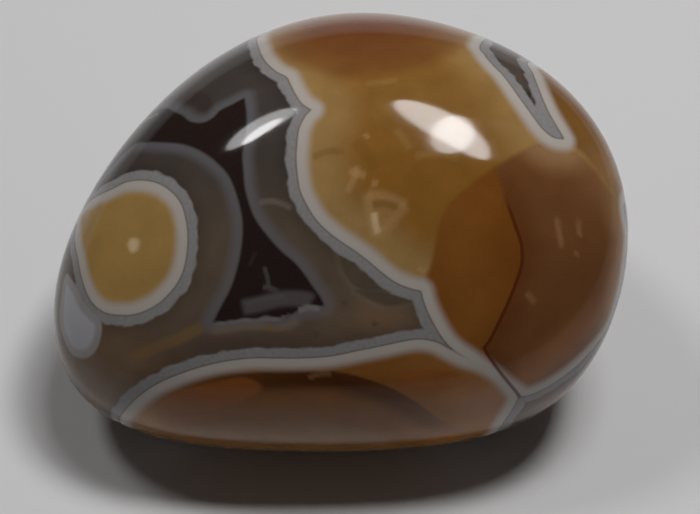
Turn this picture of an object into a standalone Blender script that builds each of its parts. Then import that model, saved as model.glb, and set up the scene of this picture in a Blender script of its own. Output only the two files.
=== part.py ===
"""A polished agate pebble, one solid stone that rests on a small flat spot.

The stone is worn down by broad flats that run softly into each other. Along a ray from its middle,
every flat that the ray meets would be reached at some distance. The surface is where the power sum
of the inverse distances comes to one, which keeps the stone convex and rounds every edge. Metres,
+Z up, origin at the middle of the bounding box's foot, +X along the stone.
"""

import math

import bmesh
import bpy
from mathutils import Vector

MM = 0.001

# Worn flats: bearing from +X and rise in degrees, and distance from the middle in millimetres
FLATS = (
    (0, -5, 20.9),
    (45, -5, 17.0),
    (90, -5, 21.7),
    (135, -5, 15.5),
    (180, -5, 24.9),
    (-135, -5, 26.6),
    (-90, -5, 15.1),
    (-45, -5, 21.3),
    (30, 45, 23.7),
    (90, 45, 16.2),
    (150, 45, 16.7),
    (-150, 45, 16.3),
    (-90, 45, 11.1),
    (-30, 45, 24.3),
    (30, -45, 14.3),
    (90, -45, 15.0),
    (150, -45, 16.2),
    (-150, -45, 22.3),
    (-90, -45, 15.9),
    (-30, -45, 21.2),
    (0, 90, 14.2),
    (0, -90, 9.1),
)

# A higher power gives flatter flats and tighter edges between them
SOFTNESS = 5.0

# The resting flat is cut this far above the lowest point
FLAT_DEPTH = 0.15 * MM

SUBDIVISIONS = 5
SHORTEST_EDGE = 0.05 * MM

STONE_COLOUR = (0.26, 0.17, 0.085, 1.0)
STONE_ROUGHNESS = 0.1


def direction(bearing, rise):
    """The unit vector at a bearing and a rise given in degrees."""
    level = math.cos(math.radians(rise))
    return Vector(
        (
            level * math.cos(math.radians(bearing)),
            level * math.sin(math.radians(bearing)),
            math.sin(math.radians(rise)),
        )
    )


WORN_FLATS = [(direction(bearing, rise), away * MM) for bearing, rise, away in FLATS]


def reach(ray):
    """The distance from the stone's middle to its surface along a unit ray."""
    total = 0.0
    for facing, away in WORN_FLATS:
        total += max(ray.dot(facing) / away, 0.0) ** SOFTNESS
    return total ** (-1 / SOFTNESS)


def cut_flat(stone):
    """Cut the stone's foot off level and close the cut."""
    foot = min(vertex.co.z for vertex in stone.verts) + FLAT_DEPTH
    everything = stone.verts[:] + stone.edges[:] + stone.faces[:]
    bmesh.ops.bisect_plane(
        stone,
        geom=everything,
        dist=0.01 * MM,
        plane_co=(0, 0, foot),
        plane_no=(0, 0, 1),
        clear_inner=True,
    )
    rim = [edge for edge in stone.edges if edge.is_boundary]
    bmesh.ops.edgeloop_fill(stone, edges=rim)
    bmesh.ops.dissolve_degenerate(stone, dist=SHORTEST_EDGE, edges=stone.edges[:])
    for vertex in stone.verts:
        if abs(vertex.co.z - foot) < SHORTEST_EDGE:
            vertex.co.z = foot


def seat_on_origin(stone):
    """Move the middle of the bounding box's foot to the origin."""
    low = [min(vertex.co[axis] for vertex in stone.verts) for axis in range(3)]
    high = [max(vertex.co[axis] for vertex in stone.verts) for axis in range(3)]
    middle = Vector(((low[0] + high[0]) / 2, (low[1] + high[1]) / 2, low[2]))
    bmesh.ops.translate(stone, vec=-middle, verts=stone.verts[:])


def stone_material():
    material = bpy.data.materials.new("polished_agate")
    material.use_nodes = True
    shader = material.node_tree.nodes["Principled BSDF"]
    shader.inputs["Base Color"].default_value = STONE_COLOUR
    shader.inputs["Roughness"].default_value = STONE_ROUGHNESS
    shader.inputs["Metallic"].default_value = 0.0
    material.diffuse_color = STONE_COLOUR
    return material


def make_stone(collection):
    """A fine icosphere drawn out to the stone's surface, with its foot cut flat."""
    stone = bmesh.new()
    bmesh.ops.create_icosphere(stone, subdivisions=SUBDIVISIONS, radius=1.0)
    for vertex in stone.verts:
        ray = vertex.co.normalized()
        vertex.co = ray * reach(ray)
    cut_flat(stone)
    seat_on_origin(stone)
    bmesh.ops.recalc_face_normals(stone, faces=stone.faces[:])
    mesh = bpy.data.meshes.new("agate")
    stone.to_mesh(mesh)
    stone.free()
    mesh.shade_smooth()
    mesh.materials.append(stone_material())
    agate = bpy.data.objects.new("agate", mesh)
    collection.objects.link(agate)
    return agate


def main():
    for old in list(bpy.data.objects):
        bpy.data.objects.remove(old, do_unlink=True)
    collection = bpy.data.collections.new("agate")
    bpy.context.scene.collection.children.link(collection)
    make_stone(collection)


main()
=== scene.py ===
import math

import bpy
import numpy as np
from mathutils import Matrix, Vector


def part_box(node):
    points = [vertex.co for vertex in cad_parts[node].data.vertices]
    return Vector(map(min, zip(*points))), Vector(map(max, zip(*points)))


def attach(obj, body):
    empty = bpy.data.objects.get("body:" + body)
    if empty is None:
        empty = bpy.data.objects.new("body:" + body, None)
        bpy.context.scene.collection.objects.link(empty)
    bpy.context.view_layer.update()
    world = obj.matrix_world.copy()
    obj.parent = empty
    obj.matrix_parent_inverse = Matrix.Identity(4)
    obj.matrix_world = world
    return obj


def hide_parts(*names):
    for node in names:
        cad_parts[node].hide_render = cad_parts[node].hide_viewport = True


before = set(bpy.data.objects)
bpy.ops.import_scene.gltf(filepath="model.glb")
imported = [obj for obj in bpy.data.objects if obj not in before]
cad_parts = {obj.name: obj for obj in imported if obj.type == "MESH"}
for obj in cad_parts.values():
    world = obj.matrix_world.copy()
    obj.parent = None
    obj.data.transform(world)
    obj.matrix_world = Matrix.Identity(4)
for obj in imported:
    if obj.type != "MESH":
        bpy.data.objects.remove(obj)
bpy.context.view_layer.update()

# Lengths below are millimetres, and become metres where something is put into Blender
mm = 0.001

# The photograph's view, in its 700 x 514 pixels
photoView = {
    "middle": (350.0, 257.0),
    "width": 700.0,
    "lens": 120.0,
    "sensor": 36.0,
    "rise": 56.0,  # degrees that the camera looks down by
    "pixelsPerMm": 15.1,
    "aim": (0.13, -1.34, 10.5),  # this point of the stone shows at aimPixel
    "aimPixel": (340.0, 230.0),
}

viewRise = math.radians(photoView["rise"])
viewRight = np.array([1.0, 0.0, 0.0])
viewUp = np.array([0.0, math.sin(viewRise), math.cos(viewRise)])
viewBack = np.array([0.0, -math.cos(viewRise), math.sin(viewRise)])
focalPixels = photoView["lens"] / photoView["sensor"] * photoView["width"]
viewDistance = focalPixels / photoView["pixelsPerMm"]
aimShift = (np.array(photoView["middle"]) - photoView["aimPixel"]) / photoView["pixelsPerMm"]
viewTarget = photoView["aim"] + viewRight * aimShift[0] - viewUp * aimShift[1]
cameraPlace = viewTarget + viewBack * viewDistance

# The stone: broad worn flats, each with its bearing and rise in degrees and its distance in mm
# from the stone's middle, running softly into each other
stoneShape = {
    "flats": (
        (0, -5, 20.9), (45, -5, 17.0), (90, -5, 21.7), (135, -5, 15.5),
        (180, -5, 24.9), (-135, -5, 26.6), (-90, -5, 15.1), (-45, -5, 21.3),
        (30, 45, 23.7), (90, 45, 16.2), (150, 45, 16.7),
        (-150, 45, 16.3), (-90, 45, 11.1), (-30, 45, 24.3),
        (30, -45, 14.3), (90, -45, 15.0), (150, -45, 16.2),
        (-150, -45, 22.3), (-90, -45, 15.9), (-30, -45, 21.2),
        (0, 90, 14.2), (0, -90, 9.1),
    ),
    "softness": 5.0,  # higher is flatter flats with tighter edges
    "footCut": 0.15,  # depth of the small flat that it rests on
    "panels": 128,  # grid squares along each of the six sheets
}


# A unit vector: cosine of the rise times cosine and sine of the bearing, and sine of the rise
def towards(bearing, rise):
    b, r = np.radians(bearing), np.radians(rise)
    return np.stack([np.cos(r) * np.cos(b), np.cos(r) * np.sin(b), np.sin(r)], axis=-1)


flatTable = np.array(stoneShape["flats"], float)
flatRates = towards(flatTable[:, 0], flatTable[:, 1]) / flatTable[:, 2:3]


# One on the surface, less inside: the fifth root of the sum over the flats of the fifth power of
# how much of the way to that flat a point has gone
def gauge(points):
    share = np.maximum(points @ flatRates.T, 0.0)
    return (share ** stoneShape["softness"]).sum(axis=-1) ** (1 / stoneShape["softness"])


# Outward unit normal: the flats' directions weighted by the fourth power of the same share
def facing(points):
    share = np.maximum(points @ flatRates.T, 0.0) ** (stoneShape["softness"] - 1)
    slope = share @ flatRates
    return slope / np.linalg.norm(slope, axis=-1, keepdims=True)


# Puts points of any length onto the surface, along the ray from the middle
def ontoStone(points):
    return points / gauge(points)[..., None]


# Six square sheets over a ball. On each, the direction is the sheet's axis plus the tangents of
# two angles, from -45 to 45 degrees in equal steps, along its two sides. Shared edges are merged.
def ballGrid(panels):
    angles = np.linspace(-math.pi / 4, math.pi / 4, panels + 1)
    u, v = np.meshgrid(np.tan(angles), np.tan(angles), indexing="ij")
    axes = np.eye(3)
    sheets, squares = [], []
    corner = np.arange((panels + 1) ** 2).reshape(panels + 1, panels + 1)
    quad = np.stack([corner[:-1, :-1], corner[1:, :-1], corner[1:, 1:], corner[:-1, 1:]], axis=-1)
    for axis in range(3):
        for sign in (1, -1):
            first, second = axes[(axis + 1) % 3], axes[(axis + 2) % 3] * sign
            out = axes[axis] * sign
            sheet = out + u[..., None] * first + v[..., None] * second
            squares.append(quad.reshape(-1, 4) + len(sheets) * corner.size)
            sheets.append(sheet.reshape(-1, 3))
    rays = np.concatenate(sheets)
    rays /= np.linalg.norm(rays, axis=1, keepdims=True)
    _, keep, back = np.unique(np.round(rays, 6), axis=0, return_index=True, return_inverse=True)
    return rays[keep], back.reshape(-1)[np.concatenate(squares)]


ballRays, stoneQuads = ballGrid(stoneShape["panels"])
rawPoints = ontoStone(ballRays)
footLevel = rawPoints[:, 2].min() + stoneShape["footCut"]
squash = np.where(rawPoints[:, 2] < footLevel, footLevel / np.minimum(rawPoints[:, 2], -1e-6), 1.0)
rawPoints = rawPoints * squash[:, None]
boxLow, boxHigh = (np.array(corner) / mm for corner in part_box("agate"))
middle = np.array([(boxLow[0] + boxHigh[0]) / 2, (boxLow[1] + boxHigh[1]) / 2, boxLow[2]]) - np.array([
    (rawPoints[:, 0].min() + rawPoints[:, 0].max()) / 2,
    (rawPoints[:, 1].min() + rawPoints[:, 1].max()) / 2,
    rawPoints[:, 2].min(),
])
stonePoints = rawPoints  # measured from the stone's middle
print("stone surface:", len(stonePoints), "points,", len(stoneQuads), "squares")


# The place on the stone that shows at each pixel. The gauge along a camera ray has one lowest
# point: the near crossing of one lies before it. A ray that misses takes its nearest pass.
def seenAt(pixels):
    pixels = np.atleast_2d(np.array(pixels, float))
    rays = (
        -viewBack * focalPixels
        + viewRight * (pixels[:, :1] - photoView["middle"][0])
        - viewUp * (pixels[:, 1:2] - photoView["middle"][1])
    )
    rays /= np.linalg.norm(rays, axis=1, keepdims=True)
    start = cameraPlace - middle
    low = np.full(len(rays), viewDistance - 40.0)
    high = np.full(len(rays), viewDistance + 40.0)
    for _ in range(60):
        third = (high - low) / 3
        nearer = gauge(start + rays * (low + third)[:, None]) < gauge(start + rays * (high - third)[:, None])
        high = np.where(nearer, high - third, high)
        low = np.where(nearer, low, low + third)
    deepest = (low + high) / 2
    low = np.full(len(rays), viewDistance - 40.0)
    high = deepest.copy()
    for _ in range(50):
        half = (low + high) / 2
        outside = gauge(start + rays * half[:, None]) > 1
        low = np.where(outside, half, low)
        high = np.where(outside, high, half)
    missed = gauge(start + rays * deepest[:, None]) > 1
    depth = np.where(missed, deepest, high)
    return ontoStone(start + rays * depth[:, None])


# A smooth closed or open line on the stone through its anchors. Between two anchors it is the
# cubic whose slope at each is half the step between its neighbours, or nothing at a corner.
# Steps of a tenth of a millimetre are then laid along it and drawn onto the surface.
def lineThrough(runs, closed=True, step=0.08):
    anchors, corners = [], []
    for kind, places in runs:
        flat = [place[:2] for place in places]
        anchors.append(seenAt(flat) if kind == "seen" else ontoStone(towards(*np.array(flat, float).T)))
        corners += [len(place) > 2 for place in places]
    anchors = np.concatenate(anchors)
    corners = np.array(corners)
    if closed:
        before, after = np.roll(anchors, 1, axis=0), np.roll(anchors, -1, axis=0)
        nextOne = np.roll(np.arange(len(anchors)), -1)
        first = np.arange(len(anchors))
    else:
        before = np.concatenate([anchors[:1], anchors[:-1]])
        after = np.concatenate([anchors[1:], anchors[-1:]])
        first = np.arange(len(anchors) - 1)
        nextOne = first + 1
    slope = np.where(corners[:, None], 0.0, (after - before) / 2)
    t = np.linspace(0, 1, 40, endpoint=False)[None, :, None]
    a, b = anchors[first][:, None], anchors[nextOne][:, None]
    sa, sb = slope[first][:, None], slope[nextOne][:, None]
    curve = (
        (2 * t**3 - 3 * t**2 + 1) * a + (t**3 - 2 * t**2 + t) * sa
        + (3 * t**2 - 2 * t**3) * b + (t**3 - t**2) * sb
    ).reshape(-1, 3)
    curve = np.concatenate([curve, anchors[:1] if closed else anchors[-1:]])
    curve = ontoStone(curve)
    gone = np.concatenate([[0], np.cumsum(np.linalg.norm(np.diff(curve, axis=0), axis=1))])
    count = max(8, int(gone[-1] / step))
    wanted = np.linspace(0, gone[-1], count, endpoint=not closed)
    return ontoStone(np.stack([np.interp(wanted, gone, curve[:, k]) for k in range(3)], axis=1))


# Distance of every point from a line, positive on one side. The nearest step of the line is
# found first, and then only the part of the way to it that is square to the line counts. For a
# closed line the inside is negative; for an open one the left is negative.
def gapTo(line, points=None, closed=True):
    points = stonePoints if points is None else points
    ahead = np.roll(line, -1, axis=0) if closed else np.concatenate([line[1:], line[-1:]])
    behind = np.roll(line, 1, axis=0) if closed else np.concatenate([line[:1], line[:-1]])
    onward, inward = ahead - line, line - behind
    along = sum(part / np.maximum(np.linalg.norm(part, axis=1, keepdims=True), 1e-9)
                for part in (onward, inward))
    along /= np.linalg.norm(along, axis=1, keepdims=True)
    left = np.cross(facing(line), along)
    lineSquares = (line**2).sum(axis=1)
    nearest = np.concatenate([
        np.argmin(lineSquares - 2 * block @ line.T, axis=1)
        for block in np.array_split(points, max(1, len(points) // 4096))
    ])
    away = points - line[nearest]
    step = np.linalg.norm(line[1] - line[0])
    ahead = (away * along[nearest]).sum(axis=1)
    square = (away**2).sum(axis=1) - np.minimum(np.abs(ahead), step / 2) ** 2
    side = (away * left[nearest]).sum(axis=1)
    gap = -np.sign(side) * np.sqrt(np.maximum(square, 0.0))
    if closed:
        centre = line.mean(axis=0)
        spun = np.cross(line - centre, np.roll(line, -1, axis=0) - centre).sum(axis=0)
        return gap * (1 if spun @ centre > 0 else -1)
    return gap, (nearest + ahead / step) / (len(line) - 1)


# Seen runs are pixels of the photograph; hidden runs are bearing and rise. A third entry marks a
# corner. The island outlines follow the thin dark line between white rim and grey band.
islandOutlines = {
    "crown": [  # the big warm island: top, centre, right and upper right eyes grown together
        ("seen", [
            (261, 31), (257, 38), (258, 47), (264, 60), (275, 71), (286, 77), (290, 84), (295, 94),
            (302, 104), (311, 110, 1), (305, 116), (299, 128), (297, 141), (296, 157), (297, 174),
            (300, 191), (307, 206), (316, 220), (329, 233), (344, 244), (356, 252), (369, 262),
            (382, 273), (396, 283), (411, 289), (421, 291, 1), (423, 300), (428, 313), (434, 325),
            (442, 338), (452, 349), (468, 360), (488, 374), (505, 387), (522, 397, 1), (538, 392),
            (563, 377), (592, 350), (611, 320), (620, 290), (625, 262), (627, 235), (624, 205),
        ]),
        ("hidden", [(-1, 14), (8, 2), (20, -6), (30, 0), (34, 16)]),
        ("seen", [
            (529, 62), (533, 74), (539, 90), (546, 107), (554, 122), (564, 139, 1), (553, 137),
            (542, 128), (533, 116), (525, 105), (517, 94), (510, 84), (502, 74), (493, 65),
            (485, 55), (481, 44),
        ]),
        ("hidden", [(50, 22), (57, 5), (72, -8), (91, -11), (107, -2), (115, 14)]),
    ],
    "apron": [  # the long eye along the front foot
        ("seen", [
            (120, 422), (125, 410), (140, 395), (160, 382), (190, 370), (220, 362), (250, 358),
            (275, 358), (300, 358), (330, 356), (360, 350), (385, 345), (403, 341), (420, 339),
            (437, 342), (452, 350), (466, 357), (482, 362), (498, 371), (510, 383), (518, 396),
            (512, 410), (504, 422), (494, 433),
        ]),
        ("hidden", [(-52, -24), (-62, -38), (-85, -48), (-110, -46), (-130, -34), (-141, -20)]),
    ],
    "eye": [  # the round eye on the left
        ("seen", [
            (114, 188, 1), (126, 182), (142, 180), (158, 183), (171, 191), (181, 203), (186, 219),
            (188, 236), (187, 254), (183, 272), (175, 287), (162, 301), (148, 310), (132, 315),
            (115, 315), (103, 312), (93, 304), (86, 292), (81, 276), (78, 260), (75, 244),
            (76, 227), (81, 213), (90, 201), (103, 193),
        ]),
    ],
}

coreOutlines = {
    "heart": [
        ("seen", [
            (165, 108), (176, 112), (183, 115), (191, 121), (203, 122), (213, 117), (220, 110),
            (232, 104), (245, 97, 1), (247, 112), (247, 128), (245, 142), (243, 155), (244, 170),
            (246, 190), (254, 215), (266, 233), (281, 250), (295, 262), (305, 274), (313, 286),
            (321, 297), (325, 306, 1), (311, 308), (302, 309), (295, 313), (286, 319), (275, 318),
            (265, 316), (256, 320), (246, 319), (236, 321), (224, 323), (212, 323, 1), (219, 309),
            (230, 288), (236, 270), (240, 252), (242, 233), (241, 215), (236, 195), (228, 176),
            (215, 162), (201, 152), (183, 145), (162, 143), (146, 143), (129, 149),
        ]),
        ("hidden", [(178, 12), (182, 0), (178, -12), (165, -18), (152, -10), (148, 8), (154, 24)]),
    ],
    "chink": [
        ("seen", [
            (490, 42), (498, 58), (510, 74), (522, 90), (532, 103), (541, 118), (549, 131, 1),
            (545, 118), (536, 102), (528, 86), (521, 70), (514, 54),
        ]),
        ("hidden", [(38, 20), (39, 4), (46, -2), (50, 8), (46, 24)]),
    ],
}

lobeOutline = [("seen", [
    (66, 274), (61, 300), (60, 322), (65, 342), (73, 355), (86, 358), (96, 350), (101, 336),
    (101, 322), (92, 312), (82, 300), (76, 286),
])]

seamLine = [("seen", [
    (502, 188), (508, 205), (515, 225), (521, 243), (522, 262), (517, 280), (508, 303),
    (500, 320), (490, 340), (484, 348, 1), (490, 358), (500, 372), (508, 382), (517, 393), (521, 399),
])]

# Eyes on the hidden sides: bearing, rise, radius in mm, and how much longer than wide
hiddenEyes = (
    (128, -22, 4.2, 1.15),
    (-165, -32, 3.4, 1.25),
    (38, -36, 4.6, 1.2),
    (-8, -30, 3.0, 1.0),
)


# Signed distance from a round eye: distance from its centre less its radius, with the radius
# swelling and shrinking a little three and five times round
def eyeGap(bearing, rise, radius, stretch):
    centre = ontoStone(towards(bearing, rise)[None])
    out = facing(centre)[0]
    side = np.cross(out, [0, 0, 1.0])
    side /= np.linalg.norm(side)
    tall = np.cross(side, out)
    away = stonePoints - centre
    across, upward = away @ side / stretch, away @ tall
    turn = np.arctan2(upward, across)
    wobble = 1 + 0.06 * np.sin(3 * turn + bearing) + 0.03 * np.sin(5 * turn + rise)
    return np.linalg.norm(np.stack([across, upward, away @ out]), axis=0) - radius * wobble


islandGaps = {name: gapTo(lineThrough(runs)) for name, runs in islandOutlines.items()}
hiddenGaps = [eyeGap(*eye) for eye in hiddenEyes]
islandGap = np.minimum.reduce(list(islandGaps.values()) + hiddenGaps)
coreGaps = {name: gapTo(lineThrough(runs)) for name, runs in coreOutlines.items()}
lobeGap = gapTo(lineThrough(lobeOutline))
seamGap, seamAlong = gapTo(lineThrough(seamLine, closed=False), closed=False)
print("pattern lines laid on the stone")


# A colour of the stone itself, 0 to 255 as a screen shows it under full white light, as paint
def paint(red, green, blue):
    shown = np.array([red, green, blue]) / 255
    return np.where(shown <= 0.04045, shown / 12.92, ((shown + 0.055) / 1.055) ** 2.4)


# Zero below low, one above high, and three t squared less two t cubed between them
def rise(values, low, high):
    t = np.clip((values - low) / (high - low), 0, 1)
    return t * t * (3 - 2 * t)


def lay(ground, colour, weight):
    ground += (colour - ground) * weight[:, None]


# A soft patch on the surface: the falling bell of the distance from a pixel's place, with its own
# length, width and turn on the surface
def patch(pixel, size, turn=0.0):
    centre = seenAt([pixel])
    out = facing(centre)[0]
    side = viewRight - out * (viewRight @ out)
    side /= np.linalg.norm(side)
    tall = np.cross(out, side)
    away = stonePoints - centre
    a, b = away @ side, away @ tall
    c, s = math.cos(math.radians(turn)), math.sin(math.radians(turn))
    return np.exp(-(((a * c + b * s) / size[0]) ** 2) - ((b * c - a * s) / size[1]) ** 2
                  - ((away @ out) / max(size)) ** 2)


# A fine stroke in the stone: full along its line and gone at its width to either side
def stroke(anchors, width):
    line = lineThrough([("seen", anchors)], closed=False, step=0.05)
    gap, along = gapTo(line, closed=False)
    ends = rise(along, -0.03, 0.08) * (1 - rise(along, 0.92, 1.03))
    return ends * (1 - rise(np.abs(gap), width * 0.35, width))


# How far a place lies inside a closed outline that is drawn in pixels, from none to full over the edge
def within(outline, edge):
    return 1 - rise(gapTo(lineThrough([("seen", outline)])), -edge, edge)


agateColours = {
    "bandTopLightOffset": (74, 66, 61), "bandMiddle": (99, 85, 71), "bandBottomShadeOffset": (118, 96, 79), "bandLeft": (124, 100, 78),
    "honey": (144, 99, 40), "topHoney": (145, 106, 54), "paleHoney": (168, 133, 82), "eyeHoney": (172, 136, 78),
    "orange": (128, 81, 42), "rust": (121, 66, 32), "flank": (131, 90, 43),
    "amber": (127, 74, 24), "lightAmber": (139, 87, 34), "seamBrown": (112, 66, 33),
    "brown": (120, 77, 43), "tan": (160, 122, 84), "lowTan": (163, 108, 66),
    "apron": (140, 90, 40), "apronLens": (148, 87, 40), "apronDark": (78, 42, 17), "apronLow": (132, 82, 26),
    "apronRight": (158, 104, 50), "apronPink": (172, 122, 84), "apronLeft": (172, 127, 80), "apronFoot": (134, 97, 58),
    "chink": (88, 77, 70), "chinkTip": (52, 45, 42), "lobe": (66, 55, 51), "pocket": (86, 74, 60), "pocketRim": (140, 125, 108),
    "blob": (160, 154, 153), "blobOval": (182, 181, 187), "crack": (190, 150, 102), "brightCrack": (224, 198, 154),
    "crackShade": (122, 80, 32), "fleck": (158, 149, 144), "feather": (84, 69, 61), "chip": (150, 108, 60),
    "creamRim": (168, 156, 146), "ochre": (134, 106, 66), "deepBand": (82, 68, 60), "limbFloorReflection": (118, 98, 92),
}
colour = {name: paint(*seen) for name, seen in agateColours.items()}

zoneOutlines = {
    "cap": [
        ("seen", [
            (262, 36), (272, 56), (285, 67), (300, 73), (330, 82), (360, 84), (400, 78),
            (440, 66), (466, 52), (478, 40),
        ]),
        ("hidden", [(52, 18), (60, 2), (74, -7), (91, -9), (106, 0), (113, 15)]),
    ],
    "cheek": [
        ("seen", [
            (515, 155), (490, 170), (465, 190), (450, 205), (440, 225), (435, 250), (430, 268),
            (424, 290), (432, 315), (445, 338), (468, 360), (488, 374), (505, 387), (522, 397),
            (538, 392), (563, 377), (592, 350), (611, 320), (620, 290), (625, 262), (627, 235),
            (624, 205), (612, 195), (603, 182), (592, 168), (580, 157), (564, 148), (545, 144),
            (530, 148),
        ]),
    ],
    "flank": [
        ("seen", [(563, 142), (580, 154), (592, 166), (603, 180), (613, 193), (624, 205)]),
        ("hidden", [(-1, 14), (8, 2), (20, -6), (30, 0), (34, 16)]),
        ("seen", [(529, 62), (533, 74), (539, 90), (546, 107), (554, 122)]),
    ],
}
zoneGaps = {name: gapTo(lineThrough(runs)) for name, runs in zoneOutlines.items()}

# Smaller areas, as closed outlines in pixels
areaOutlines = {
    "apronLens": [(150, 405), (172, 394), (200, 385), (225, 380), (245, 378), (262, 387), (245, 400), (215, 410), (180, 413)],
    "rightLens": [(396, 376), (425, 370), (452, 372), (468, 380), (455, 389), (425, 392), (402, 386)],
    "pocketOne": [(340, 252), (341, 265), (345, 275), (352, 284), (362, 290), (375, 291), (382, 288), (370, 276), (355, 262)],
    "pocketTwo": [(355, 290), (370, 300), (385, 306), (400, 305), (413, 301), (400, 296), (380, 291)],
    "fan": [(367, 193), (387, 196), (408, 205), (394, 222), (376, 238), (368, 216)],
    "roundLobe": [(181, 104), (186, 95), (197, 91), (209, 96), (214, 107), (208, 118), (197, 123), (186, 117)],
    "blobOval": [(69, 304), (75, 300), (80, 306), (79, 317), (73, 322), (68, 315)],
    "blobFoot": [(78, 344), (86, 336), (95, 341), (94, 351), (86, 354)],
    "speck": [(128, 243), (133, 238), (139, 241), (137, 250), (131, 252)],
}
# The crisp upper edge of the dark arc in the long eye, left to right
apronArc = [(150, 382), (200, 374), (255, 372), (300, 370), (340, 372), (380, 383), (412, 399), (442, 420)]
# Flaws inside the stone, and two strokes of painted highlight by the right glint: colour, strength, half width in mm,
# and the line in pixels
flaws = (
    ("brightCrack", 0.75, 0.30, [(374, 212), (375, 222), (378, 234)]),
    ("crack", 0.30, 0.50, [(367, 193), (387, 197), (407, 205)]),
    ("crack", 0.30, 0.45, [(367, 193), (369, 214), (376, 237)]),
    ("crack", 0.22, 0.50, [(407, 205), (393, 222), (377, 238)]),
    ("crack", 0.45, 0.34, [(349, 171), (357, 173), (366, 176)]),
    ("crack", 0.40, 0.30, [(357, 165), (356, 173), (352, 183), (347, 193)]),
    ("crack", 0.40, 0.28, [(376, 179), (374, 187)]),
    ("crack", 0.5, 0.20, [(364, 134), (369, 138)]),
    ("crackShade", 0.35, 0.34, [(312, 158), (325, 152), (345, 151)]),
    ("crackShade", 0.30, 0.55, [(355, 140), (366, 154), (375, 170)]),
    ("crackShade", 0.5, 0.34, [(372, 205), (384, 203), (398, 207)]),
    # The next two pale strokes hug the lower left edge of the right glint: painted highlight fringe
    ("paleHoney", 0.30, 0.34, [(395, 130), (404, 139), (410, 150)]),
    ("paleHoney", 0.35, 0.36, [(415, 157), (432, 153), (460, 158)]),
    ("paleHoney", 0.30, 0.32, [(366, 84), (383, 82), (398, 80)]),
    ("crack", 0.5, 0.20, [(417, 268), (425, 272)]),
    ("tan", 0.45, 0.28, [(557, 217), (559, 232), (562, 248)]),
    ("tan", 0.45, 0.24, [(578, 220), (580, 237)]),
    ("tan", 0.5, 0.18, [(574, 253), (578, 256)]),
    ("tan", 0.4, 0.22, [(526, 293), (530, 297), (535, 303)]),
    ("lightAmber", 0.40, 0.40, [(472, 187), (486, 193), (500, 203)]),
    ("fleck", 0.40, 0.24, [(264, 266), (267, 276), (269, 287)]),
    ("fleck", 0.42, 0.30, [(262, 287), (270, 288), (279, 292)]),
    ("fleck", 0.18, 0.22, [(256, 251), (249, 267)]),
    ("feather", 0.60, 0.80, [(240, 308), (256, 305), (280, 299), (304, 299), (314, 303)]),
    ("fleck", 0.22, 0.26, [(246, 304), (262, 299), (286, 296)]),
    ("creamRim", 0.80, 0.28, [(298, 311), (308, 307), (320, 309)]),
    ("creamRim", 0.6, 0.18, [(213, 324), (246, 320), (275, 319), (293, 314)]),
    ("creamRim", 0.22, 0.26, [(258, 203), (270, 201), (283, 204), (292, 209)]),
    ("ochre", 0.8, 0.34, [(210, 332), (250, 326), (280, 328), (300, 320)]),
    ("ochre", 0.6, 0.55, [(205, 325), (180, 338), (150, 350), (130, 360)]),
    ("chip", 0.8, 0.28, [(160, 113), (140, 125), (117, 135)]),
    ("chinkTip", 0.9, 0.24, [(524, 88), (534, 103), (545, 124)]),
    ("apronLeft", 0.35, 0.26, [(308, 378), (320, 374), (332, 374)]),
    ("deepBand", 0.5, 0.26, [(313, 333), (319, 335)]),
    ("deepBand", 0.5, 0.26, [(372, 323), (378, 325)]),
    ("deepBand", 0.4, 0.24, [(342, 302), (348, 304)]),
)

area = {name: within(outline, 0.16) for name, outline in areaOutlines.items()}
height = stonePoints @ viewUp  # mm up the photograph from the stone's middle
ground = np.empty((len(stonePoints), 3))
ground[:] = colour["bandMiddle"]
# Painted light: the band is darker towards the top of the view and lighter towards the bottom, offsetting the lamps,
# which light the top of the stone more than the bottom
lay(ground, colour["bandTopLightOffset"], rise(height, -1.0, 6.5))
lay(ground, colour["bandBottomShadeOffset"], 1 - rise(height, -9.5, -4.0))
lay(ground, colour["bandLeft"], patch((105, 375), (5.0, 4.0)))
lay(ground, colour["bandLeft"], patch((382, 318), (3.2, 1.6)))
ground *= (0.78 + 0.22 * rise(islandGap, 0.5, 1.8))[:, None]  # darker beside the light grey band
lay(ground, colour["deepBand"], 0.6 * patch((250, 352), (6.5, 1.3)))
# Greyed pink along the lower right edge: the lower band's brown with a painted reflection of the pale floor over it
lay(ground, colour["limbFloorReflection"], patch((565, 380), (4.0, 1.2), 38.0))
lay(ground, colour["chink"], 1 - rise(coreGaps["chink"], -0.15, 0.45))
lay(ground, colour["pocketRim"], 0.6 * np.maximum(*(within(areaOutlines[n], 0.5) for n in ("pocketOne", "pocketTwo"))))
lay(ground, colour["pocket"], 0.85 * np.maximum(area["pocketOne"], area["pocketTwo"]))

warm = np.tile(colour["paleHoney"], (len(stonePoints), 1))
lay(warm, colour["honey"], 1 - rise(islandGap, -4.2, -0.9))
lay(warm, colour["topHoney"], 0.7 * patch((440, 95), (6.0, 2.6)))
lay(warm, colour["paleHoney"], 0.7 * patch((318, 160), (1.8, 4.0)))
lay(warm, colour["paleHoney"], 0.8 * patch((372, 256), (3.6, 1.6), -38.0))
lay(warm, colour["honey"], 0.6 * patch((425, 185), (2.6, 2.6)))
capMask = 1 - rise(zoneGaps["cap"], -1.3, 0.2)
lay(warm, colour["orange"], capMask * patch((368, 45), (6.4, 4.6)) ** 0.6)
lay(warm, colour["rust"], patch((362, 26), (4.6, 2.4)))
lay(warm, colour["flank"], 1 - rise(zoneGaps["flank"], -0.5, 0.1))
cheekMask = 1 - rise(zoneGaps["cheek"], -0.22, 0.22)
rightOfSeam = rise(-seamGap, -0.1, 0.1) if seamGap[np.argmin(((stonePoints - seenAt([(470, 250)])) ** 2).sum(axis=1))] > 0 else rise(seamGap, -0.1, 0.1)
lay(warm, colour["amber"], cheekMask * (1 - rightOfSeam))
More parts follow.
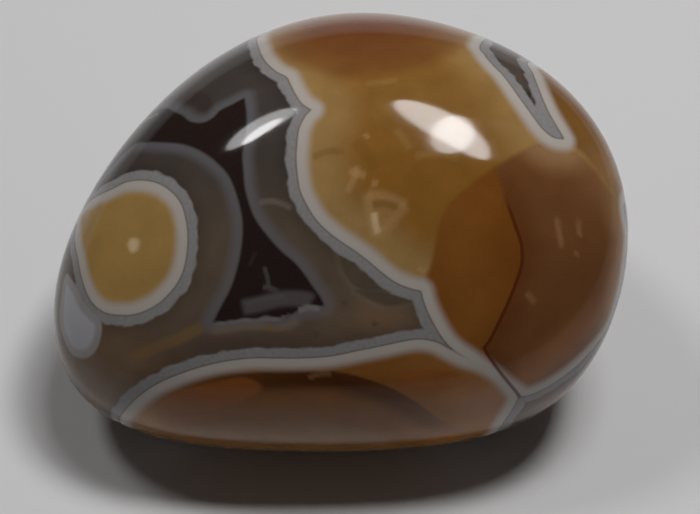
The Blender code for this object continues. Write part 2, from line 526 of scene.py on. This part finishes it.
lay(warm, colour["lightAmber"], cheekMask * (1 - rightOfSeam) * patch((455, 225), (2.4, 4.6)))
lay(warm, colour["lightAmber"], cheekMask * (1 - rightOfSeam) * patch((468, 318), (2.4, 2.8)))
lay(warm, colour["brown"], cheekMask * rightOfSeam)
lay(warm, colour["seamBrown"], cheekMask * rightOfSeam * (1 - rise(np.abs(seamGap), 0.2, 1.8)))
lay(warm, colour["tan"], cheekMask * rightOfSeam * rise(islandGap, -3.0, -0.9) * rise(height, -6.5, -3.5))
lay(warm, colour["tan"], 0.8 * patch((612, 172), (2.0, 2.2)))
lay(warm, colour["lowTan"], 0.8 * cheekMask * patch((546, 362), (5.0, 1.2), 38.0))

apronMask = 1 - rise(islandGaps["apron"], -0.05, 0.05)
arcGap, _ = gapTo(lineThrough([("seen", apronArc)], closed=False), closed=False)
belowArc = arcGap if arcGap[np.argmin(((stonePoints - seenAt([(300, 395)])) ** 2).sum(axis=1))] > 0 else -arcGap
apronTone = np.tile(colour["apron"], (len(stonePoints), 1))
lay(apronTone, colour["apronRight"], rise(stonePoints[:, 0], 3.0, 7.5))
lay(apronTone, colour["apronLow"], rise(belowArc, 0.6, 2.6) * (1 - rise(stonePoints[:, 0], 3.0, 7.5)))
lay(apronTone, colour["apronDark"], rise(belowArc, -0.06, 0.1) * (1 - rise(belowArc, 0.7, 2.2)) * patch((325, 392), (7.4, 5.0)) ** 0.6)
lay(apronTone, colour["apronLens"], area["rightLens"] * 0.7)
lay(apronTone, colour["apronLens"], area["apronLens"] * 0.9)
lay(apronTone, colour["apronPink"], patch((484, 402), (2.0, 1.6)))
lay(apronTone, colour["apronLeft"], patch((135, 414), (2.2, 1.6)))
lay(apronTone, colour["apronFoot"], 0.8 * rise(belowArc, 3.3, 4.6))
warm += (apronTone - warm) * apronMask[:, None]
eyeMask = 1 - rise(islandGaps["eye"], -0.05, 0.05)
lay(warm, colour["eyeHoney"], eyeMask)
lay(warm, colour["brightCrack"], area["speck"] * 0.85)
lay(warm, colour["crack"], 0.25 * area["fan"])

insideMask = 1 - rise(islandGap, -0.05, 0.05)
ground += (warm - ground) * insideMask[:, None]
lay(ground, colour["lobe"], 0.9 * area["roundLobe"])
flawMask = np.zeros(len(stonePoints))
for name, strength, width, line in flaws:
    mask = strength * stroke(line, width)
    lay(ground, colour[name], mask)
    flawMask = np.maximum(flawMask, mask)  # keeps the dark heart off its flecks
print("ground colours laid")


def setAttribute(mesh, name, kind, values):
    values = np.asarray(values, np.float32)
    attribute = mesh.attributes.new(name, kind, "POINT")
    field = {"FLOAT_COLOR": "color", "FLOAT_VECTOR": "vector", "FLOAT": "value"}[kind]
    attribute.data.foreach_set(field, values.ravel())


def makeStone():
    mesh = bpy.data.meshes.new("agateSurface")
    mesh.from_pydata(((stonePoints + middle) * mm).tolist(), [], stoneQuads.tolist())
    mesh.shade_smooth()
    setAttribute(mesh, "bands", "FLOAT_VECTOR", np.stack([islandGap, coreGaps["heart"], lobeGap], axis=1))
    setAttribute(mesh, "seam", "FLOAT_VECTOR", np.stack([seamGap, seamAlong, zoneGaps["cheek"]], axis=1))
    setAttribute(mesh, "ground", "FLOAT_COLOR", np.concatenate([ground, flawMask[:, None]], axis=1))
    stone = bpy.data.objects.new("agateStone", mesh)
    bpy.context.scene.collection.objects.link(stone)
    return stone


def calc(tree, operation, *values):
    node = tree.nodes.new("ShaderNodeMath")
    node.operation = operation
    for slot, value in enumerate(values):
        if isinstance(value, (int, float)):
            node.inputs[slot].default_value = value
        else:
            tree.links.new(value, node.inputs[slot])
    return node.outputs[0]


# Zero below low, one above high and a smooth step between them
def step(tree, value, low, high):
    node = tree.nodes.new("ShaderNodeMapRange")
    node.interpolation_type = "SMOOTHSTEP"
    tree.links.new(value, node.inputs["Value"])
    node.inputs["From Min"].default_value = low
    node.inputs["From Max"].default_value = high
    return node.outputs["Result"]


# One below low, zero above high
def fading(tree, value, low, high):
    return calc(tree, "SUBTRACT", 1.0, step(tree, value, low, high))


# A colour, fixed or from a node, times a factor
def scaled(tree, shade, factor):
    node = tree.nodes.new("ShaderNodeVectorMath")
    node.operation = "SCALE"
    if isinstance(shade, bpy.types.NodeSocket):
        tree.links.new(shade, node.inputs[0])
    else:
        node.inputs[0].default_value = shade
    tree.links.new(factor, node.inputs["Scale"])
    return node.outputs[0]


def blend(tree, factor, under, over):
    node = tree.nodes.new("ShaderNodeMix")
    node.data_type = "RGBA"
    sockets = {s.identifier: s for s in node.inputs}
    for key, value in (("Factor_Float", factor), ("A_Color", under), ("B_Color", over)):
        if isinstance(value, bpy.types.NodeSocket):
            tree.links.new(value, sockets[key])
        elif key == "Factor_Float":
            sockets[key].default_value = value
        else:
            sockets[key].default_value = (*value, 1.0)
    return {s.identifier: s for s in node.outputs}["Result_Color"]


def noise(tree, place, scale, detail=2.0, roughness=0.5):
    node = tree.nodes.new("ShaderNodeTexNoise")
    tree.links.new(place, node.inputs["Vector"])
    node.inputs["Scale"].default_value = scale
    node.inputs["Detail"].default_value = detail
    node.inputs["Roughness"].default_value = roughness
    return node.outputs["Fac"]


bandColours = {
    "white": (190, 181, 173), "lightGrey": (146, 142, 142), "line": (118, 112, 109), "blueRim": (113, 111, 116),
    "core": (44, 32, 29), "seam": (88, 34, 8), "blob": (160, 154, 153), "blobHeart": (182, 180, 186),
}
agateFinish = {"roughness": 0.06, "scuffs": 0.07, "index": 1.54, "gloss": 0.38, "grain": 0.14}


def agateMaterial():
    material = bpy.data.materials.new("polishedAgate")
    material.use_nodes = True
    tree = material.node_tree
    shader = tree.nodes["Principled BSDF"]
    coordinates = tree.nodes.new("ShaderNodeTexCoord")
    mapping = tree.nodes.new("ShaderNodeMapping")
    mapping.inputs["Scale"].default_value = (1 / mm, 1 / mm, 1 / mm)
    tree.links.new(coordinates.outputs["Object"], mapping.inputs["Vector"])
    place = mapping.outputs["Vector"]
    parts = {}
    for name in ("bands", "seam"):
        attribute = tree.nodes.new("ShaderNodeAttribute")
        attribute.attribute_name = name
        split = tree.nodes.new("ShaderNodeSeparateXYZ")
        tree.links.new(attribute.outputs["Vector"], split.inputs[0])
        parts[name] = split.outputs
    groundNode = tree.nodes.new("ShaderNodeAttribute")
    groundNode.attribute_name = "ground"
    tone = {name: tuple(paint(*seen)) for name, seen in bandColours.items()}

    island, core, lobe = parts["bands"]
    seam = calc(tree, "ABSOLUTE", parts["seam"][0])
    coarse = noise(tree, place, 0.55, 3.0)
    fine = noise(tree, place, 4.5, 3.0, 0.65)
    result = groundNode.outputs["Color"]
    # Cloudy honey and bands: brightness swings a little about one
    cloud = calc(tree, "MULTIPLY_ADD", calc(tree, "SUBTRACT", coarse, 0.5), 0.35, 1.0)
    grain = calc(tree, "MULTIPLY_ADD", calc(tree, "SUBTRACT", fine, 0.5), agateFinish["grain"], cloud)
    result = scaled(tree, result, grain)
    # White rim inside the line, fading into the honey
    rim = calc(tree, "MULTIPLY", step(tree, island, -1.15, -0.4), fading(tree, island, -0.06, 0.02))
    result = blend(tree, rim, result, tone["white"])
    # Light grey band outside it, with a wobbly grainy edge
    wobble = calc(tree, "SUBTRACT", island, calc(tree, "MULTIPLY", noise(tree, place, 1.1, 1.0), 0.42))
    band = calc(tree, "MULTIPLY", step(tree, island, -0.02, 0.06), fading(tree, wobble, 0.34, 0.56))
    bandTone = scaled(tree, tone["lightGrey"], calc(tree, "MULTIPLY_ADD", calc(tree, "SUBTRACT", fine, 0.5), 0.5, 1.0))
    result = blend(tree, band, result, bandTone)
    line = fading(tree, calc(tree, "ABSOLUTE", island), 0.03, 0.12)
    result = blend(tree, calc(tree, "MULTIPLY", line, 0.45), result, tone["line"])
    # The dark heart with its bluish rim, which stops at the light grey band
    outerRim = calc(tree, "MULTIPLY", fading(tree, core, 0.2, 1.05), step(tree, island, 0.25, 0.7))
    result = blend(tree, calc(tree, "MULTIPLY", outerRim, 0.62), result, tone["blueRim"])
    coreTone = scaled(tree, tone["core"], calc(tree, "MULTIPLY_ADD", fine, 0.5, 0.75))
    heart = calc(tree, "MULTIPLY", fading(tree, core, -0.16, 0.1), fading(tree, groundNode.outputs["Alpha"], 0.0, 1.0))
    result = blend(tree, heart, result, coreTone)
    # The pale lump beside the round eye
    result = blend(tree, fading(tree, lobe, -0.12, 0.12), result, tone["blob"])
    result = blend(tree, fading(tree, lobe, -0.75, -0.35), result, tone["blobHeart"])
    # The crisp dark red seam in the right eye
    alongSeam = calc(tree, "MULTIPLY", step(tree, parts["seam"][1], 0.0, 0.12), fading(tree, parts["seam"][1], 0.97, 1.0))
    seamMask = calc(tree, "MULTIPLY", fading(tree, seam, 0.05, 0.17), alongSeam)
    result = blend(tree, calc(tree, "MULTIPLY", seamMask, 0.8), result, tone["seam"])
    tree.links.new(result, shader.inputs["Base Color"])
    scuff = calc(tree, "MULTIPLY_ADD", noise(tree, place, 2.2, 4.0, 0.7), agateFinish["scuffs"], agateFinish["roughness"] - 0.02)
    tree.links.new(scuff, shader.inputs["Roughness"])
    shader.inputs["IOR"].default_value = agateFinish["index"]
    shader.inputs["Specular IOR Level"].default_value = agateFinish["gloss"]
    return material


stone = makeStone()
stone.data.materials.append(agateMaterial())
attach(stone, "root")
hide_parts("agate")
print("stone made")


# The floor's colour is pale paper about the stone and darkens outwards: a painted pool of light, as lamps that stand
# close would give
floorPaperLightPool = {"pale": (0.80, 0.795, 0.80), "far": (0.42, 0.42, 0.43), "centre": (0.0, 8.0), "bright": 36.0, "dim": 80.0}


def makeFloor():
    mesh = bpy.data.meshes.new("floorSheet")
    half = 1.5
    mesh.from_pydata([(-half, -half, 0), (half, -half, 0), (half, half, 0), (-half, half, 0)], [], [(0, 1, 2, 3)])
    floor = bpy.data.objects.new("floor", mesh)
    bpy.context.scene.collection.objects.link(floor)
    material = bpy.data.materials.new("palePaperLightPool")
    material.use_nodes = True
    tree = material.node_tree
    shader = tree.nodes["Principled BSDF"]
    coordinates = tree.nodes.new("ShaderNodeTexCoord")
    away = tree.nodes.new("ShaderNodeVectorMath")
    away.operation = "DISTANCE"
    away.inputs[1].default_value = (floorPaperLightPool["centre"][0] * mm, floorPaperLightPool["centre"][1] * mm, 0)
    tree.links.new(coordinates.outputs["Object"], away.inputs[0])
    paintedLightFalloff = step(tree, away.outputs["Value"], floorPaperLightPool["bright"] * mm, floorPaperLightPool["dim"] * mm)
    tree.links.new(blend(tree, paintedLightFalloff, floorPaperLightPool["pale"], floorPaperLightPool["far"]), shader.inputs["Base Color"])
    shader.inputs["Roughness"].default_value = 0.9
    shader.inputs["Specular IOR Level"].default_value = 0.2
    mesh.materials.append(material)


# The lamps that light the stone and the floor: bearing and rise, distance, how wide each looks in
# degrees, and watts. The glints are their shades and bulbs as the polish mirrors them.
lamps = {
    "keyLamp": {"towards": (35.8, 66.9), "distance": 384.0, "spread": (12.5, 12.5), "power": 0.54},
    "keyBounce": {"towards": (60.0, 73.5), "distance": 400.0, "spread": (12.0, 12.0), "power": 0.28},
    "sideLamp": {"towards": (141.9, 58.5), "distance": 500.0, "spread": (12.0, 12.0), "power": 0.375},
}
glints = {
    "rightShade": {"glint": (446, 126), "distance": 300.0, "spread": (42.0, 8.5), "turn": -35.0, "power": 0.30},
    "rightBulb": {"glint": (454, 133), "distance": 300.0, "spread": (28.0, 6.5), "turn": -35.0, "power": 0.14},
    "leftShade": {"glint": (259, 127), "distance": 500.0, "spread": (24.0, 11.0), "turn": 0.0, "power": 0.39},
    "leftBulb": {"glint": (261, 131), "distance": 500.0, "spread": (15.0, 5.0), "turn": 0.0, "power": 0.20},
}


# The lamp stands where the camera's ray, mirrored at the glint's place on the stone, meets it
def makeLamp(name, facts):
    spot = seenAt([facts["glint"]])
    out = facing(spot)[0]
    back = cameraPlace - (spot[0] + middle)
    back /= np.linalg.norm(back)
    ray = 2 * (out @ back) * out - back
    hang = spot[0] + middle + ray * facts["distance"]
    size = [2 * facts["distance"] * math.tan(math.radians(s / 2)) for s in facts["spread"]]
    lamp = placeLamp(name, hang, ray, size, facts["turn"], facts["power"])
    lamp.visible_diffuse = False


def placeLamp(name, hang, ray, size, turn, power):
    level = np.cross([0, 0, 1.0], ray)
    level /= np.linalg.norm(level)
    tall = np.cross(ray, level)
    c, s = math.cos(math.radians(turn)), math.sin(math.radians(turn))
    light = bpy.data.lights.new(name, "AREA")
    light.shape = "ELLIPSE"
    light.size, light.size_y = (side * mm for side in size)
    light.energy = power
    lamp = bpy.data.objects.new(name, light)
    bpy.context.scene.collection.objects.link(lamp)
    frameAxes = np.eye(4)
    frameAxes[:3, 0], frameAxes[:3, 1], frameAxes[:3, 2] = level * c + tall * s, tall * c - level * s, ray
    frameAxes[:3, 3] = hang * mm
    lamp.matrix_world = Matrix(frameAxes)
    return lamp


def makeCamera():
    camera = bpy.data.cameras.new("photoCamera")
    camera.lens = photoView["lens"]
    camera.sensor_width = photoView["sensor"]
    camera.clip_start, camera.clip_end = 0.01, 10
    rig = bpy.data.objects.new("photoCamera", camera)
    bpy.context.scene.collection.objects.link(rig)
    rig.location = cameraPlace * mm
    rig.rotation_euler = (math.pi / 2 - viewRise, 0, 0)
    bpy.context.scene.camera = rig


makeFloor()
for name, facts in glints.items():
    makeLamp(name, facts)
for name, facts in lamps.items():
    ray = towards(*facts["towards"])
    size = [2 * facts["distance"] * math.tan(math.radians(s / 2)) for s in facts["spread"]]
    lamp = placeLamp(name, ray * facts["distance"] + middle, ray, size, 0.0, facts["power"])
    lamp.visible_glossy = False
makeCamera()
world = bpy.data.worlds.new("dimRoom")
bpy.context.scene.world = world
world.use_nodes = True
world.node_tree.nodes["Background"].inputs["Color"].default_value = (0.03, 0.028, 0.027, 1)
world.node_tree.nodes["Background"].inputs["Strength"].default_value = 1.0
bpy.context.scene.view_settings.view_transform = "Standard"
print("floor, lamps and camera placed")
